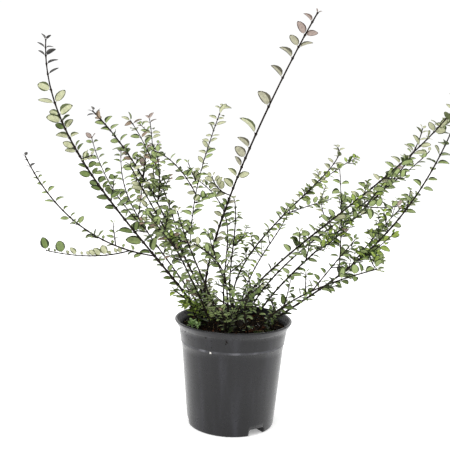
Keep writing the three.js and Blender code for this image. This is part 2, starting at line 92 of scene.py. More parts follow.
# Wood
CANE_SIDES, STEM_SIDES, TWIG_SIDES, FINE_SIDES = 12, 6, 5, 4
TIP_RADIUS = 0.8
SHOOT_TIP = 0.75  # the tip of a shoot against TIP_RADIUS
TWIG_RADII, FINE_RADII = (1, 0.5), (0.7, 0.4)
TWIG_LENGTH, FINE_LENGTH = (18, 34), (10, 26)
TWIG_ZONE = 0.62  # the share of a leafy stem that carries small twigs
TWIG_TURN = 2.5  # how far a twig may stand round from its stem's upper side,
TWIG_LEAD = 0.75  # and how far it leans along the stem
TWIG_BEND, TWIG_END = 0.55, 0.4  # shares of its length before and after it turns up
TWIG_RISE = (0.05, 0.3)
TWIG_CLEAR = 1.5  # between the finest twigs and other wood
FORK_SHARE = 0.7  # a fork's thickness against its bough's
WOOD_SLIM = 0.92  # bark is a little slimmer than the solid limbs
WOOD_STEP = 8
FOOT_SINK, SOIL_ROOM = 2, 3
LIP_ROOM = (14, 4)  # inwards of the lip, and above it

# Leaves
SHOOT_LEAF, TWIG_LEAF, FINE_LEAF = 0.92, 0.85, 0.75  # blades, against their stem's
BOUGH_BLADE, BOUGH_GAP = 10, 12
TWIG_CROWDING = 0.55  # leaf spacing on a small twig against that on its stem
FINE_GAP = 6
TIP_GAP = 0.6  # the newest gap against the others
FIRST_AXIL = 3  # the newest pair with a fine twig
LAST_PAIR = 0.8  # how far into its bare foot a stem's last pair may stand
CROSS_EVERY = 3  # which pairs stand a quarter turn on
LEAF_LEVEL = 0.8  # how far a steep stem's leaves turn level
LEVEL_BELOW = 190  # blades lie level below this height,
OPEN_ABOVE = 330  # and turn to the light above this one
LEVEL_TWIST, LEVEL_SWING = (-0.1, 0.6), 0.3
EDGE_TWIST, EDGE_SWING = (-0.3, 0.2), 0.4
CROWDED = 0.5  # how much smaller the leaves are where pairs stand close
SPRAWL_LIFT = 0.6  # how far the leaves of a level stem lift towards the sky

# Keys of the seeded numbers: each mass has a hundred, of which its twigs start at twenty
MASS_KEYS, TWIG_KEY, FORK_KEY, CLUMP_KEY, BOUGH_KEY = 100, 20, 40, 60, 4000
FINE_KEYS, LEFT_KEY = 50, 30

# Each cane: its foot, two handles that bend it and its tip, its thickness at the foot, its
# bare share, and the spacing and length of its leaves. A shoot starts at a share of the leafy
# stretch, and bends over to its tip. lost is the share of leaves missing, or its right and
# left ones. bushy is how many fine twigs stand in the axils, times bush up the stem,
# bough_bush below it and shoot_bush on shoots. tones run from foot to tip, and fresh and
# rusty are shares. tips and shoot_tips give the newest leaves' tone, and how many pairs or
# shoots have it, and grown their sizes. edge_on newest ones lie level, others twist to the
# light, which facing places outwards, in front and above. swing is how far leaves leave
# their rank, and lead how far they lean along the stem. pitch changes the spacing up it.
COMMON = dict(
    girth=2.7, bare=0.22, gap=11, blade=12, twigs=3, shoots=[], shoot_blade=None, fork=None,
    lost=0.06, bushy=0.2, bush=((0, 1), (1, 0)), bough_bush=0.45, shoot_bush=0.5,
    tones=("mid", "mid", "pale"), fresh=0.1, rusty=0.01, tips=("pale", 1),
    shoot_tips=("blush", 0.2), shoot_tone=None, grown=(0.6, 0.85, 0.95),
    shoot_grown=(0.6, 0.85, 0.95), edge_on=0, twist=(0.1, 1.4), shoot_twist=None,
    shoot_lost=None, facing=(0.35, 0.8, 0.5), swing=0.5, lead=(0.1, 0.7), tip_lead=1.6,
    shoot_lead=1.6, cross=True, taper=1.5, bough_taper=1, tip_width=0.95, knot=0.4,
    pitch=lambda share: 1, gaps=(0.8, 1.2), sizes=(0.8, 1.15),
)
MIDDLE_BUSH = dict(bush=((0.2, 0.3, 0.48, 0.55), (0, 1, 1, 0)), bough_bush=0.1)
CANES = [dict(
    name="tall", foot=(-27, 8), path=((-92, 10, 180), (52, 20, 500), (105, 24, 595)), girth=3.9, bare=0.4,
    gap=34, blade=22, twigs=0, shoot_blade=12, lost=(0.72, 0.05), sizes=(1, 1.25), bushy=0,
    tones=("pale", "silver", "silver"), fresh=0, tips=("blush", 3), grown=(0.22, 0.8, 0.9),
    twist=(0.5, 1.25), facing=(0.1, 1, 0.25), swing=0.35, lead=(0.6, 1.1), cross=False, taper=1.2,
    bough_taper=0.7, tip_width=1.35, knot=0.7,
    pitch=lambda share: np.interp(share, (0.3, 0.4, 0.7, 0.8), (0.5, 1.15, 1.15, 0.62)),
    shoots=[(0.02, (-30, -5, 340), (-36, -22, 362))]
), dict(
    name="upper_left", foot=(-34, -8), path=((-120, -15, 270), (-274, -30, 390), (-264, -40, 540)),
    girth=4.1, bare=0.28, gap=18, blade=18, twigs=1, shoot_blade=8, lost=(0.08, 0.1), gaps=(0.65, 1.4),
    sizes=(0.75, 1.3), bushy=0, grown=(0.5, 0.6, 0.7), tones=("mid", "deep", "pale"), fresh=0,
    tips=("dusk", 4), edge_on=5, twist=(0.5, 1.5), facing=(0.1, 1, 0.25), cross=False, lead=(0.2, 1),
    taper=2, bough_taper=0.7, tip_width=1, knot=0.7,
    pitch=lambda share: 0.75 + 0.2 * sin(9 * share),
    shoots=[(0.5, (-205, -50, 385), (-196, -62, 388))],
    fork=dict(
        name="low_left", path=((-185, -50, 260), (-240, -85, 305), (-272, -110, 386)), gap=15, twigs=2,
        lost=0.15, bushy=0.05, tones=("mid", "mid", "silver"), fresh=0, tips=("dusk", 3),
        edge_on=4, grown=(0.5, 0.6, 0.7), sizes=(0.45, 1.2), shoot_tips=("deep", 1),
        shoot_grown=(1.65, 0.35, 0.35, 1.7), shoot_twist=(0.9, 1.5), shoot_lost=(0, 0.98), shoot_lead=0.5,
        shoot_tone="pale", cross=False, pitch=lambda share: np.interp(share, (0.8, 0.92), (1, 0.6)),
        shoots=[(0.16, (-187, -95, 250), (-235, -150, 272))])
), dict(
    name="left_back", foot=(-24, 24), path=((-90, 45, 255), (-140, 80, 370), (-230, 110, 450)), girth=3,
    bare=0.24, blade=14, tips=("dusk", 2), rusty=0.16, edge_on=2, bushy=0.5, taper=2.2,
    shoot_grown=(0.9, 1, 1), tip_width=1.2, knot=0.7,
    shoots=[(0.06, (-120, 50, 380), (-160, 38, 436)), (0.42, (-135, 125, 400), (-146, 152, 441)),
            (0.38, (-112, 38, 345), (-116, 8, 384))]
), dict(
    name="far_left", foot=(-36, 26), path=((-115, 65, 255), (-190, 120, 290), (-195, 175, 385)),
    girth=2.8, gap=12, blade=13, twigs=2, lost=0.1, bushy=0.1, tips=("dusk", 1),
    shoot_tips=("blush", 1), cross=False, shoot_grown=(1.1, 0.7, 0.8), shoot_twist=(0.8, 1.5),
    shoots=[(0.4, (-210, 105, 330), (-222, 66, 408)), (0.5, (-150, 92, 325), (-142, 76, 366))]
), dict(
    name="front_left", foot=(-28, -22), path=((-65, -50, 245), (-105, -90, 310), (-135, -130, 380)),
    bare=0.2, rusty=0.08, bushy=0.45, taper=2, knot=0.6,
    shoots=[(0.35, (-95, -125, 300), (-106, -172, 322)), (0.46, (-108, -58, 300), (-132, -44, 330))]
), dict(
    name="middle_left", foot=(-15, -22), path=((-25, -45, 185), (-68, -75, 275), (-76, -112, 322)),
    girth=3, bare=0.7, gap=10, twigs=2,
    fork=dict(
        name="middle_back", path=((-62, -50, 340), (-52, 40, 385), (-28, 122, 464)), gap=13, twigs=2,
        twist=(0.5, 1.5), bushy=0.05, taper=2, tip_width=1.1, knot=0.6, sizes=(0.6, 1.4),
        grown=(0.5, 1.2, 1.2), shoots=[(0.3, (-85, -20, 385), (-116, -42, 396))])
), dict(
    name="front_lean", foot=(-3, -31), path=((-15, -70, 220), (0, -125, 255), (-50, -180, 291)),
    girth=2.6, blade=11, lost=0.25, bushy=0.1, shoots=[(0.3, (-26, -118, 264), (-35, -150, 302))]
), dict(
    name="back_lean", foot=(-12, 30), path=((-30, 75, 230), (20, 150, 285), (-65, 220, 337)), blade=11,
    lost=0.25, bushy=0.1, shoots=[(0.3, (10, 165, 240), (18, 218, 262))]
), dict(
    name="centre", foot=(4, -2), path=((-22, 10, 190), (8, 25, 290), (-5, 42, 326)), girth=2.6, gap=9,
    blade=10, twigs=2, lost=0.15, bushy=0.05, lead=(0.1, 0.4)
), dict(
    name="right_arch", foot=(8, 24), path=((-52, 45, 240), (180, 85, 372), (155, 120, 405)), girth=2.9,
    bare=0.25, gap=12, twigs=2, bushy=0.4,
    shoots=[(0.5, (150, 130, 370), (194, 172, 388)), (0.42, (112, 70, 318), (137, 50, 328))]
), dict(
    name="right_long", foot=(12, -26), path=((-48, -38, 207), (256, -55, 374), (298, -72, 500)),
    girth=3.1, bare=0.25, gap=12, blade=15, tips=("blush", 1), rusty=0, bushy=0.5, swing=0.7,
    lost=0.12, **MIDDLE_BUSH,
    shoots=[(0.86, (272, -40, 430), (282, -22, 447)), (0.38, (182, -76, 328), (206, -100, 336))]
), dict(
    name="right_middle", foot=(27, 14), path=((78, 32, 246), (258, 62, 340), (279, 92, 438)), girth=3,
    blade=13, twigs=4, fresh=0.55, swing=0.7, bushy=0.6, lost=0.25, shoot_bush=0.9, **MIDDLE_BUSH,
    shoots=[(0.5, (205, 25, 350), (222, -8, 380)), (0.34, (168, 30, 302), (190, 10, 318)),
            (0.18, (128, 6, 262), (150, -26, 292))]
), dict(
    name="right_back", foot=(18, 34), path=((50, 75, 240), (240, 130, 330), (312, 172, 402)), girth=2.8,
    gap=12, fresh=0.45, swing=0.7, bushy=0.4, lost=0.25, sizes=(0.7, 1.1), **MIDDLE_BUSH,
    shoots=[(0.35, (130, 170, 300), (150, 214, 336)), (0.52, (206, 102, 326), (226, 72, 352))]
), dict(
    name="front_short", foot=(22, -38), path=((5, -80, 210), (22, -130, 218), (34, -192, 249)), girth=2.6,
    gap=10, blade=11, tones=("deep", "mid", "mid"), lost=0.25, bushy=0.1, sizes=(0.65, 1)
), dict(
    name="front_right", foot=(33, -26), path=((60, -60, 200), (130, -115, 240), (170, -172, 266)),
    tones=("deep", "mid", "mid"), bushy=0.3, bough_bush=0, lost=0.3, bush=((0.4, 0.55), (0, 1)),
    shoots=[(0.4, (130, -85, 255), (158, -78, 288))]
), dict(
    name="low_right", foot=(38, -6), path=((138, -5, 216), (248, -15, 275), (306, -20, 478)), girth=3.5,
    bare=0.2, gap=14, blade=14, twigs=4, fresh=0.5, tips=("blush", 1), bushy=0.75, swing=0.7,
    lost=0.22, bough_bush=0, shoot_bush=1.1, sizes=(0.8, 1.25),
    bush=((0.1, 0.2, 0.35, 0.45), (0, 1, 1, 0)),
    pitch=lambda share: np.interp(share, (0.12, 0.2), (1.3, 1)),
    shoots=[(0.14, (151, -12, 300), (142, -12, 377)), (0.2, (215, 45, 290), (268, 92, 332)),
            (0.3, (185, -50, 250), (190, -84, 248)), (0.24, (194, -34, 266), (214, -52, 294))]
), dict(
    name="rear_right", foot=(6, 40), path=((20, 105, 225), (70, 180, 240), (98, 238, 305)), blade=11,
    lost=0.35, bushy=0.05, sizes=(0.7, 1)
)]
# Small leafy clumps round the foot of the canes
CLUMP = dict(radius=1.5, gap=6, blade=8.5, twigs=4, tones=("mid", "mid", "fresh"),
             tips=("fresh", 1), bushy=1, twist=(-0.2, 0.8))
CLUMPS = [
    dict(name="clump_left", foot=(-52, -12), tip=(-84, -40, 202), fresh=0.7,
         tones=("mid", "fresh", "fresh"), sizes=(1, 1.4)),
    dict(name="clump_front", foot=(-10, -50), tip=(-16, -84, 186), lost=0.15, bushy=0.6,
         tones=("mid", "mid", "mid"), tips=("mid", 1)),
    dict(name="clump_right", foot=(57, -24), tip=(78, -38, 190), lost=0.4, bushy=0.25,
         tones=("deep", "deep", "mid"), tips=("mid", 1)),
    dict(name="clump_back", foot=(24, 56), tip=(44, 82, 192)),
    dict(name="clump_back_left", foot=(-34, 50), tip=(-58, 76, 200)),
]
CLUMP_BEND = 0.6


# Helpers

def mix(a, b, t):
    return a + (b - a) * t


def clamp(value):
    return min(max(value, 0), 1)


def polar(radius, angle):
    return radius * cos(angle), radius * sin(angle)


def angles_round(count):
    return np.arange(count) * TURN / count


def unit(v):
    return v / np.linalg.norm(v)


def square(v, axis):
    """v less its part along a unit axis, as a unit vector."""
    return unit(v - axis * np.dot(v, axis))


def turn(v, axis, angle):
    """v turned about a unit axis."""
    return (v * cos(angle) + np.cross(axis, v) * sin(angle)
            + axis * np.dot(axis, v) * (1 - cos(angle)))


def chance(*keys):
    """A repeatable number from 0 to 1 for a list of whole-number keys. The last names the draw."""
    h = SEED
    for key in keys:
        h = ((h ^ (key + 0x9E37)) * 0x85EBCA6B) & 0xFFFFFFFF
        h ^= h >> 13
        h = (h * 0xC2B2AE35) & 0xFFFFFFFF
        h ^= h >> 16
    return h / 2**32


def spread(low, high, *keys):
    return mix(low, high, chance(*keys))


def colour(code):
    """A linear colour from an sRGB hex code."""
    parts = [part / 255 for part in bytes.fromhex(code)]
    return tuple(c / 12.92 if c < 0.04045 else ((c + 0.055) / 1.055) ** 2.4 for c in parts) + (1.0,)


def add_object(name, data):
    made = bpy.data.objects.new(name, data)
    bpy.context.scene.collection.objects.link(made)
    return made


CURVE_POINTS, PART_POINTS, TANGENT_STEP = 241, 201, 1.5


class Stem:
    """A smooth stem in millimetres, read at any share of its length."""

    def __init__(self, control, start=0.0, end=1.0):
        t = np.linspace(0, 1, CURVE_POINTS)[:, None]
        control = [np.array(p, float) for p in control]
        while len(control) > 1:
            control = [a * (1 - t) + b * t for a, b in zip(control, control[1:])]
        self.points = control[0]
        self._measure()
        if start > 0 or end < 1:
            shares = np.linspace(start, end, PART_POINTS)
            self.points = np.array([self.at(s) for s in shares])
            self._measure()

    def _measure(self):
        steps = np.linalg.norm(np.diff(self.points, axis=0), axis=1)
        self.run = np.concatenate(([0], np.cumsum(steps)))
        self.length = self.run[-1]

    def at(self, share):
        run = clamp(share) * self.length
        return np.array([np.interp(run, self.run, self.points[:, i]) for i in range(3)])

    def tangent(self, share):
        step = TANGENT_STEP / self.length
        return unit(self.at(share + step) - self.at(share - step))


class Pile:
    """Vertices and faces of one kind, joined into one mesh."""

    def __init__(self):
        self.verts, self.faces, self.slots, self.count = [], [], [], 0

    def add(self, verts, faces, slots=None):
        verts = np.asarray(verts, float)
        self.verts.append(verts)
        self.faces.extend(tuple(i + self.count for i in face) for face in faces)
        self.slots.extend(slots or [0] * len(faces))
        self.count += len(verts)

    def build(self, name, skins, smooth=True):
        mesh = bpy.data.meshes.new(name)
        verts = np.concatenate(self.verts) * MM
        mesh.from_pydata(verts.tolist(), [], self.faces)
        for skin in skins:
            mesh.materials.append(skin)
        mesh.polygons.foreach_set("material_index", self.slots)
        mesh.polygons.foreach_set("use_smooth", [smooth] * len(self.faces))
        mesh.update()
        return add_object(name, mesh)


def bands(rings):
    """Faces between closed rings of corners, of which the outer ones may be single points."""
    faces = []
    for low, high in zip(rings, rings[1:]):
        for j in range(max(len(low), len(high))):
            corners = (low[j % len(low)], low[(j + 1) % len(low)],
                       high[(j + 1) % len(high)], high[j % len(high)])
            faces.append(tuple(dict.fromkeys(corners)))
    return faces


BROAD_RIDGES = (1.6, 0.31)  # how closely ridges stand round a limb, and from ring to ring
FINE_RIDGES = (4.1, 0.5)
FINE_LIFT = 0.5  # fine ridges against broad ones
END_ROUND = 0.8  # how far a limb's rounded end stands out, in radii
FIRST_SIDE = (1.0, 0.3, 0.05)


def ridge(angle, ring, key):
    """The lift of the bark at an angle round a limb."""
    (round_1, on_1), (round_2, on_2) = BROAD_RIDGES, FINE_RIDGES
    x, y = cos(angle), sin(angle)
    broad = noise.noise(Vector((x * round_1 + key, y * round_1, ring * on_1)))
    return broad + FINE_LIFT * noise.noise(Vector((x * round_2, y * round_2 + key, ring * on_2)))


def tube(pile, points, radii, sides, relief=0.0, key=0):
    """A round limb along points. Relief lifts the bark in long ridges."""
    points = np.asarray(points, float)
    ahead = np.gradient(points, axis=0)
    ahead /= np.linalg.norm(ahead, axis=1)[:, None]
    across = unit(np.cross(FIRST_SIDE, ahead[0]))
    rings = []
    angles = angles_round(sides)
    for i, (point, along, radius) in enumerate(zip(points, ahead, radii)):
        across = square(across, along)
        over = np.cross(along, across)
        lift = np.ones(sides)
        if relief:
            lift += relief * np.array([ridge(a, i, key) for a in angles])
        ring = np.cos(angles)[:, None] * across + np.sin(angles)[:, None] * over
        rings.append(point + ring * (radius * lift)[:, None])
    count = len(points) * sides
    ends = [range(i, i + sides) for i in range(0, count, sides)] + [[count]]
    tip = points[-1] + ahead[-1] * radii[-1] * END_ROUND
    pile.add(np.concatenate(rings + [tip[None, :]]), bands(ends))


# Growth: every stem, with its leaf pairs, in the order of the solids

stems, leaves = [], []
wood = []  # end, end, radius and stem number of each short stretch of wood
plan = []  # for each mass or bare cane, the stems that carry its leaves, and its look


def wood_gap(spots, owner):
    """How far the nearest of the spots lies from the wood of other stems."""
    a, b, radius, who = wood_arrays
    keep = who != owner
    a, b, radius = a[keep], b[keep], radius[keep]
    reach = b - a
    gaps = []
    for spot in spots:
        t = np.clip(((spot - a) * reach).sum(1) / (reach * reach).sum(1), 0, 1)
        gaps.append((np.linalg.norm(a + reach * t[:, None] - spot, axis=1) - radius).min())
    return min(gaps)


def above_soil(spots):
    """Whether spots stand clear of the soil and of the pot's lip."""
    low, out = min(s[2] for s in spots), max(hypot(s[0], s[1]) for s in spots)
    over_lip = low >= POT_HEIGHT + LIP_ROOM[1] or out <= RIM_RADIUS - LIP_ROOM[0]
    return low >= SOIL_TOP + SOIL_ROOM and over_lip


def add_stem(stem, foot_radius, tip_radius, sides, bark="young", taper=1.0):
    number = len(stems)
    stems.append(Record(stem=stem, radii=(foot_radius, tip_radius), sides=sides, bark=bark,
                        taper=taper, knots=[]))
    count = max(2, int(stem.length / WOOD_STEP))
    spots = [stem.at(s) for s in np.linspace(0, 1, count + 1)]
    radius = (foot_radius + tip_radius) / 2
    wood.extend((a, b, radius, number) for a, b in zip(spots, spots[1:]))
    return number


def stem_radius(number, share):
    low, high = stems[number].radii
    return mix(low, high, share ** stems[number].taper)


def twig_control(stem, share, length, key):
    """A short twig off a stem, turned outwards and then up."""
    root = stem.at(share)
    tangent = stem.tangent(share)
    side = unit(UP - tangent * tangent[2])
    out = unit(turn(side, tangent, spread(-TWIG_TURN, TWIG_TURN, key, 6)) + tangent * TWIG_LEAD)
    bend = root + out * length * TWIG_BEND
    tip = bend + out * length * TWIG_END + UP * length * spread(*TWIG_RISE, key, 7)
    return root, bend, tip


def twist_span(look, rank, edge_on, open_share):
    """From how far to how far blades turn from level to the light."""
    if rank == SHOOT and look.shoot_twist:
        return look.shoot_twist
    if edge_on:
        return EDGE_TWIST
    return [mix(*pair, open_share) for pair in zip(LEVEL_TWIST, look.twist)]


def lost_share(look, rank, newest, half):
    """How likely a leaf is missing, on its stem's right or left."""
    if rank == SHOOT and look.shoot_lost:
        return look.shoot_lost[half]
    if newest:
        return 0
    return np.broadcast_to(look.lost, 2)[half if rank == STEM else 1]


def pairs_on(number, gap, blade, key, look, rank):
    """Opposite pairs of leaves in two ranks that face the light, from a stem's tip downwards."""
    stem, foot = stems[number].stem, BARE_FOOT[rank]
    count = int(stem.length * (1 - foot) / gap)
    outward, front, up = look.facing
    light = unit(unit(stem.at(1) * (1, 1, 0)) * outward + (0, -front, up))
    sizes = look.shoot_grown if rank == SHOOT else look.grown
    tip_lead = look.shoot_lead if rank == SHOOT else look.tip_lead
    spots, run, pitch = [], 0, 1
    for i in range(2 * count + 2):
        if i > 0:
            pitch = look.pitch(1 - run / stem.length) if rank == STEM else 1
            run += gap * (TIP_GAP if i == 1 else 1) * spread(*look.gaps, key, i, 12) * pitch
        share = 1 - run / stem.length
        if share < foot * LAST_PAIR:
            break
        tangent = stem.tangent(share)
        side = unit(np.cross(tangent, light))
        cross = pi / 2 if look.cross and i % CROSS_EVERY == CROSS_EVERY - 1 else 0
        grown = sizes[i] if i < len(sizes) else 1.0
        open_share = clamp((stem.at(share)[2] - LEVEL_BELOW) / (OPEN_ABOVE - LEVEL_BELOW))
        edge_on = rank == STEM and i < look.edge_on
        turned = twist_span(look, rank, edge_on, open_share)
        lift = UP * SPRAWL_LIFT * (1 - abs(tangent[2]))
        for half in (0, 1):
            draw = LEFT_KEY * half
            if chance(key, i, 20 + half) < lost_share(look, rank, i == 0, half):
                continue
            swing = mix(LEVEL_SWING, look.swing, open_share) * spread(-1, 1, key, i, 1 + draw)
            swing *= EDGE_SWING if edge_on else 1
            out = turn(side, tangent, cross + half * pi + swing)
            lead = tip_lead if i == 0 else spread(*look.lead, key, i, 2 + draw)
            along = unit(out * (1, 1, 1 - LEAF_LEVEL * abs(tangent[2])) + tangent * lead + lift)
            twist = spread(*turned, key, i, 3 + draw)
            level, lit = square(UP, along), square(light, along)
            leaves.append(Record(
                root=stem.at(share) + out * stem_radius(number, share), along=along,
                face=square(level * cos(twist) + lit * sin(twist), along),
                size=blade * grown * pitch ** CROWDED * spread(*look.sizes, key, i, 4 + draw),
                owner=number, rank=rank, age=i, key=(key, i, half), look=look,
            ))
        stems[number].knots.append((share, look.knot))
        spots.append(share)
    return spots


def axil_crowd(look, rank, share):
    """The share of leaf axils with a fine twig, at a share of a stem's length."""
    if rank == SHOOT:
        return look.bushy * look.shoot_bush
    return look.bushy * (look.bough_bush if rank == BOUGH else np.interp(share, *look.bush))


def grow_pairs(carriers, look):
    """The leaves of a mass, and the finest twigs in some of their axils."""
    for number, gap, blade, key, rank in carriers:
        spots = pairs_on(number, gap, blade, key, look, rank)
        if rank == TWIG:
            continue
        for i, share in enumerate(spots[FIRST_AXIL:]):
            fine_key = key * FINE_KEYS + i
            if chance(fine_key, 14) > axil_crowd(look, rank, share):
                continue
            reach = spread(*FINE_LENGTH, fine_key, 15)
            control = twig_control(stems[number].stem, share, reach, fine_key)
            if not above_soil(control) or wood_gap(control[1:], number) < TWIG_CLEAR:
                continue
            twig = add_stem(Stem(control), *FINE_RADII, FINE_SIDES)
            pairs_on(twig, FINE_GAP, blade * FINE_LEAF, fine_key + 7, look, FINE)


def grow_mass(control, start, look, key, radius):
    """One mass: its stem, its long shoots and its small twigs."""
    gap, blade, key = look.gap, look.blade, key * MASS_KEYS
    stem = Stem(control, start)
    main = add_stem(stem, radius, TIP_RADIUS * look.tip_width, STEM_SIDES, taper=look.taper)
    carriers = [(main, gap, blade, key, STEM)]
    shoot_blade = look.shoot_blade or blade * SHOOT_LEAF
    for i, (share, bend, tip) in enumerate(look.shoots):
        shoot = Stem((stem.at(share), bend, tip))
        number = add_stem(shoot, TWIG_RADII[0], TIP_RADIUS * SHOOT_TIP, TWIG_SIDES)
        carriers.append((number, min(gap, shoot_blade), shoot_blade, key + 1 + i, SHOOT))
    for i in range(look.twigs):
        twig_key = key + TWIG_KEY + i
        share = TWIG_ZONE * (i + spread(0.15, 0.85, twig_key, 8)) / look.twigs
        reach = spread(*TWIG_LENGTH, twig_key, 9)
        twig = Stem(twig_control(stem, share, reach, twig_key))
        number = add_stem(twig, *TWIG_RADII, TWIG_SIDES)
        carriers.append((number, gap * TWIG_CROWDING, blade * TWIG_LEAF, twig_key, TWIG))
    plan.append((carriers, look))


def foot_point(foot):
    on_stool = hypot(*foot) < STOOL_RADIUS
    return np.array((*foot, SOIL_TOP - FOOT_SINK + (STOOL_HEIGHT if on_stool else 0)), float)


for index, cane in enumerate(CANES):
    cane = Record(**COMMON | cane)
    control = (foot_point(cane.foot), *cane.path)
    radius = cane.girth / 2 * WOOD_SLIM
    end_radius = mix(radius, TIP_RADIUS, cane.bare)
    bough = Stem(control, 0, cane.bare)
    number = add_stem(bough, radius, end_radius, CANE_SIDES, "old", cane.bough_taper)
    plan.append(([(number, BOUGH_GAP, BOUGH_BLADE, BOUGH_KEY + index, BOUGH)], cane))
    grow_mass(control, cane.bare, cane, index, end_radius)
    if cane.fork:
        fork = Record(**COMMON | cane.fork)
        grow_mass((bough.at(1), *fork.path), 0, fork, FORK_KEY + index, end_radius * FORK_SHARE)
for index, clump in enumerate(CLUMPS):
    clump = Record(**COMMON | CLUMP | clump)
    foot = foot_point(clump.foot)
    tip = np.array(clump.tip, float)
    bend = np.array((foot[0], foot[1], mix(foot[2], tip[2], CLUMP_BEND)))
    grow_mass((foot, bend, tip), 0, clump, CLUMP_KEY + index, clump.radius)

wood_arrays = [np.array(column) for column in zip(*wood)]
for carriers, look in plan:
    grow_pairs(carriers, look)
wood_arrays = [np.array(column) for column in zip(*wood)]


# A leaf's outline: shares of its length, and half widths there as shares of its length
LEAF_ROWS = ((0.0, 0.0), (0.08, 0.17), (0.25, 0.3), (0.47, 0.34), (0.7, 0.29), (0.9, 0.16), (1.0, 0.0))
LEAF_SKIN = 0.03  # thickness at the midrib, as a share of the length
LEAF_MARGIN = 0.74  # where the margin starts, painted darker as shade at the blade's edge, as a share of the half width
LEAF_COLUMNS = (1, LEAF_MARGIN, 0, -LEAF_MARGIN, -1)
LEAF_WIDTH = (0.94, 1.24)
LEAF_FOLD = (0.1, 0.6)
LEAF_ARCH = (0.05, 0.34)
PETIOLE = 0.1  # length of the stalk, as a share of the blade
PETIOLE_SIDES = 3


def leaf_side(columns):
    """The faces of one side of a blade, over some of its columns."""
    width = len(LEAF_COLUMNS)
    rows = range(1, 1 + width * (len(LEAF_ROWS) - 2), width)
    faces = []
    for a, b in zip(columns, columns[1:]):
        faces.append((0, 1 + b, 1 + a))
        faces.extend((r + b, r + b + width, r + a + width, r + a) for r in rows[:-1])
        faces.append((rows[-1] + b, rows[-1] + width, rows[-1] + a))
    return faces


# Material slots: 0 on the upper side, 1 on the under side, 2 on the margin and the tip; the under side,
# margin and tip carry painted shade
UPPER, UNDER = leaf_side(range(5)), leaf_side((0, 2, 4))
LEAF_CORNERS = 2 + len(LEAF_COLUMNS) * (len(LEAF_ROWS) - 2)
LEAF_FACES = UPPER + [tuple(i + LEAF_CORNERS for i in reversed(face)) for face in UNDER]
STRIP = len(UPPER) // 4
LEAF_SLOTS = [2] * STRIP + ([0] * (STRIP - 1) + [2]) * 2 + [2] * STRIP + [1] * len(UNDER)


def leaf_verts(leaf):
    """The blade: folded a little along its midrib, arched along its length."""
    wide, fold, arch = (spread(*span, *leaf.key, draw)
                        for span, draw in ((LEAF_WIDTH, 16), (LEAF_FOLD, 17), (LEAF_ARCH, 18)))
    size, along, face = leaf.size, leaf.along, leaf.face
    across = np.cross(face, along)
    foot = leaf.root + along * size * PETIOLE
    local = []
    for x, half in LEAF_ROWS:
        sink = -arch * x * x
        if half == 0:
            local.append((x, 0, sink, 0))
            continue
        half *= wide
        for place in LEAF_COLUMNS:
            rise = fold * half * abs(place) ** 1.5
            local.append((x, half * place, sink + rise, 0 if abs(place) == 1 else LEAF_SKIN))
    local = np.array(local) * size
    upper = foot + local[:, :1] * along + local[:, 1:2] * across + local[:, 2:3] * face
    return np.concatenate((upper, upper - local[:, 3:4] * face))


SHADE_TOP = SOIL_TOP + 12  # painted shade: leaves close to the soil take the dark shadow tone, standing for the shade there, and how ragged their upper edge is
SHADE_EDGE = 15  # and how ragged their upper edge is
OLD_SHARE = 0.5  # how many of the leaves on the bare wood are dark
SPRAY_TONE = 0.3  # how far the tones of a stem, and of each leaf on it,
BLADE_TONE = 0.12  # stray from those of their height


def tone_of(leaf):
    """Which pile a leaf belongs to: by its spray, its height on the stem and its age."""
    look, owner, rank, key = leaf.look, leaf.owner, leaf.rank, leaf.key
    tip_tone, tip_age = look.tips
    if rank == STEM and leaf.age < tip_age + (chance(owner, 40) > 0.5):
        return tip_tone
    shoot_tone, shoot_share = look.shoot_tips
    newest = 1 if shoot_tone == "blush" else len(look.shoot_grown)
    if rank == SHOOT and leaf.age < newest and chance(owner, 41) < shoot_share:
        return shoot_tone
    if rank == SHOOT and look.shoot_tone:
        return look.shoot_tone
    if chance(*key, 42) < look.rusty:
        return "rust"
    # painted shade: leaves low over the soil are coloured darker, as if shaded
    if leaf.root[2] < SHADE_TOP + spread(-SHADE_EDGE, SHADE_EDGE, *key, 46):
        return "shadow"
    if rank == BOUGH and chance(*key, 47) < OLD_SHARE:
        return "deep"
    share = (leaf.height + spread(-SPRAY_TONE, SPRAY_TONE, owner, 43)
             + spread(-BLADE_TONE, BLADE_TONE, *key, 44))
    tone = look.tones[min(max(int(share * 3), 0), 2)]
    if tone != "pale" and rank != BOUGH and chance(owner, 45) < look.fresh:
        return "fresh"
    return tone


LEAF_CORE = (0.4, 0.95)  # the stretch of a leaf that keeps clear of other wood,
LEAF_CLEAR = 0.6  # and by how much
CELL = 6  # leaves in the same cell keep apart
APART = 0.28  # by this share of a blade's length
STALK_ENDS = (0.4, 0.3)  # how far a stalk reaches into its stem and its blade
STALK_FOOT = (0.12, 0.035)  # its radius there, and more for each millimetre of blade
STALK_TIP = 0.16
# Upper side, under side painted darker as shade, margin and tip painted darker as shade, gloss
LEAF_TONES = {
    "pale": ("b9bc98", "565e3c", "474d2e", 0.5),
    "silver": ("aaa891", "5c594a", "45422f", 0.5),
    "mid": ("95a56b", "323f1c", "303d15", 0.45),
    "fresh": ("9bb052", "42591f", "3c5418", 0.45),
    "deep": ("6d7f48", "29361a", "263217", 0.4),
    "shadow": ("404b29", "1c2416", "1f2714", 0.45),
    "dusk": ("75736e", "3c3b3a", "3d3b3b", 0.5),
    "blush": ("a3938a", "6b5b52", "4a3d38", 0.5),
    "rust": ("9c8874", "5a4a38", "463828", 0.45),
}

